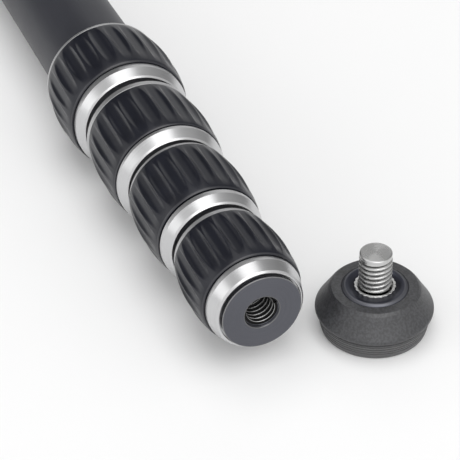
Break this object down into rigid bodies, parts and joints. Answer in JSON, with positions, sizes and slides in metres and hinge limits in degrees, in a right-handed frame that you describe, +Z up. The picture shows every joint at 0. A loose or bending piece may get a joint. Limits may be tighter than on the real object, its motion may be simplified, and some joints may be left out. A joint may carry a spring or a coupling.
{
  "type": "camera monopod",
  "caption": "Folding camera monopod with telescoping tube sections, fluted twist locks and an unscrewed rubber foot standing beside its threaded end plug.",
  "frame": {"origin": "on the floor, under the middle of the box of the folded monopod and its foot", "axes": "+X along the tubes towards the bottom end with the threaded socket, +Z up from the floor, +Y towards the side where the foot stands"},
  "size_m": [0.4974, 0.0754, 0.0501],
  "materials": {
    "tube_finish": "satin charcoal anodised",
    "flange_metal": "fine turned",
    "ring_metal": "brushed silver, turned",
    "grip_rubber": "satin moulded",
    "seal_rubber": "matt",
    "guide_plastic": "matt acetal",
    "plug_metal": "satin anodised, turned face",
    "foot_rubber": "matt moulded",
    "foot_cup": "satin black",
    "insert_metal": "knurled bright",
    "stud_steel": "machined thread",
    "handle_foam": "matt closed-cell foam",
    "handle_ring": "satin anodised",
    "head_black": "satin black anodised",
    "screw_steel": "machined",
    "pad_rubber": "matt with fine rings"
  },
  "bodies": {
    "section_1": {"tube_1": "tube_finish", "sleeve_1": "flange_metal", "collet_1": "guide_plastic", "foam_handle": "handle_foam", "handle_ring_lower": "handle_ring", "handle_ring_upper": "handle_ring", "strap_ring": "head_black", "head_hub": "head_black", "head_plate": "head_black", "plate_screws": "screw_steel", "head_pad": "pad_rubber", "camera_screw": "screw_steel"},
    "lock_1": {"collar_1": "ring_metal", "grip_1": "grip_rubber", "seal_1": "seal_rubber"},
    "lock_2": {"collar_2": "ring_metal", "grip_2": "grip_rubber", "seal_2": "seal_rubber"},
    "lock_3": {"collar_3": "ring_metal", "grip_3": "grip_rubber", "seal_3": "seal_rubber"},
    "lock_4": {"collar_4": "ring_metal", "grip_4": "grip_rubber", "seal_4": "seal_rubber"},
    "section_2": {"tube_2": "tube_finish", "shims_2": "guide_plastic", "sleeve_2": "flange_metal", "collet_2": "guide_plastic"},
    "section_3": {"tube_3": "tube_finish", "shims_3": "guide_plastic", "sleeve_3": "flange_metal", "collet_3": "guide_plastic"},
    "section_4": {"tube_4": "tube_finish", "shims_4": "guide_plastic", "sleeve_4": "flange_metal", "collet_4": "guide_plastic"},
    "section_5": {"tube_5": "tube_finish", "shims_5": "guide_plastic", "end_plug": "plug_metal"},
    "foot": {"foot_rubber": "foot_rubber", "foot_cup": "foot_cup", "foot_insert": "insert_metal", "foot_stud": "stud_steel"}
  },
  "joints": [
    {"name": "section_2_slide", "type": "slide", "parent": "section_1", "child": "section_2", "axis": [1, 0, 0], "range_m": [0, 0.25]},
    {"name": "section_3_slide", "type": "slide", "parent": "section_2", "child": "section_3", "axis": [1, 0, 0], "range_m": [0, 0.28]},
    {"name": "section_4_slide", "type": "slide", "parent": "section_3", "child": "section_4", "axis": [1, 0, 0], "range_m": [0, 0.3]},
    {"name": "section_5_slide", "type": "slide", "parent": "section_4", "child": "section_5", "axis": [1, 0, 0], "range_m": [0, 0.32]},
    {"name": "lock_1_twist", "type": "hinge", "parent": "section_1", "child": "lock_1", "pos_m": [0.11727, -0.01665, 0.0211], "axis": [1, 0, 0], "range_deg": [0, 150]},
    {"name": "lock_2_twist", "type": "hinge", "parent": "section_2", "child": "lock_2", "pos_m": [0.15317, -0.01665, 0.0211], "axis": [1, 0, 0], "range_deg": [0, 150]},
    {"name": "lock_3_twist", "type": "hinge", "parent": "section_3", "child": "lock_3", "pos_m": [0.18757, -0.01665, 0.0211], "axis": [1, 0, 0], "range_deg": [0, 150]},
    {"name": "lock_4_twist", "type": "hinge", "parent": "section_4", "child": "lock_4", "pos_m": [0.22027, -0.01665, 0.0211], "axis": [1, 0, 0], "range_deg": [0, 150]},
    {"name": "foot_swing", "type": "hinge", "parent": "section_5", "child": "foot", "pos_m": [0.23961, 0.00228, 0.02756], "axis": [0.6814, 0.2674, -0.6814], "range_deg": [0, 209.94]}
  ]
}
